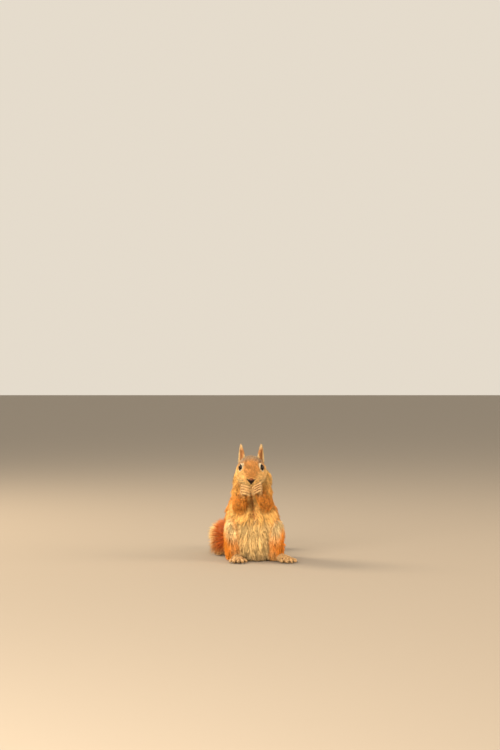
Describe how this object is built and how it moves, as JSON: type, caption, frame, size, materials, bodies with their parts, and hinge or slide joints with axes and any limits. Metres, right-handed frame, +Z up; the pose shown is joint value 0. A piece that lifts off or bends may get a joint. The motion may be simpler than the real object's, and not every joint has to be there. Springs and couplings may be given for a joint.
{
  "type": "squirrel",
  "caption": "Life-size squirrel sitting up on its haunches, forepaws held together at its mouth, bushy tail laid round its right hip and back along the floor.",
  "frame": {"origin": "on the floor under the middle of the seat", "axes": "+Z up, the squirrel faces -Y, its own left side is +X"},
  "size_m": [0.1193, 0.2069, 0.153],
  "materials": {
    "coat_back": "fur, grizzled grey-brown",
    "coat_orange": "fur, orange",
    "coat_belly": "long fur, pale ochre",
    "coat_head": "short fur, orange-brown",
    "coat_tail": "long fur, rust with a pale fringe",
    "coat_feet": "very short fur, pale ochre",
    "eye": "near-black, wet gloss",
    "nose": "bare skin, damp",
    "claw": "horn, dark"
  },
  "bodies": {
    "root": {"trunk": "coat_belly", "neck": "coat_back", "head": "coat_head", "nose": "nose", "eye_right": "eye", "eye_left": "eye", "ear_right": "coat_head", "ear_left": "coat_head", "thigh_right": "coat_orange", "thigh_left": "coat_orange", "shank_right": "coat_orange", "shank_left": "coat_orange", "foot_right": "coat_feet", "foot_left": "coat_feet", "upper_arm_right": "coat_orange", "upper_arm_left": "coat_orange", "forearm_right": "coat_orange", "forearm_left": "coat_orange", "hand_right": "coat_feet", "hand_left": "coat_feet", "tail_root": "coat_tail", "tail_middle": "coat_tail", "tail_tip": "coat_tail"}
  },
  "joints": []
}
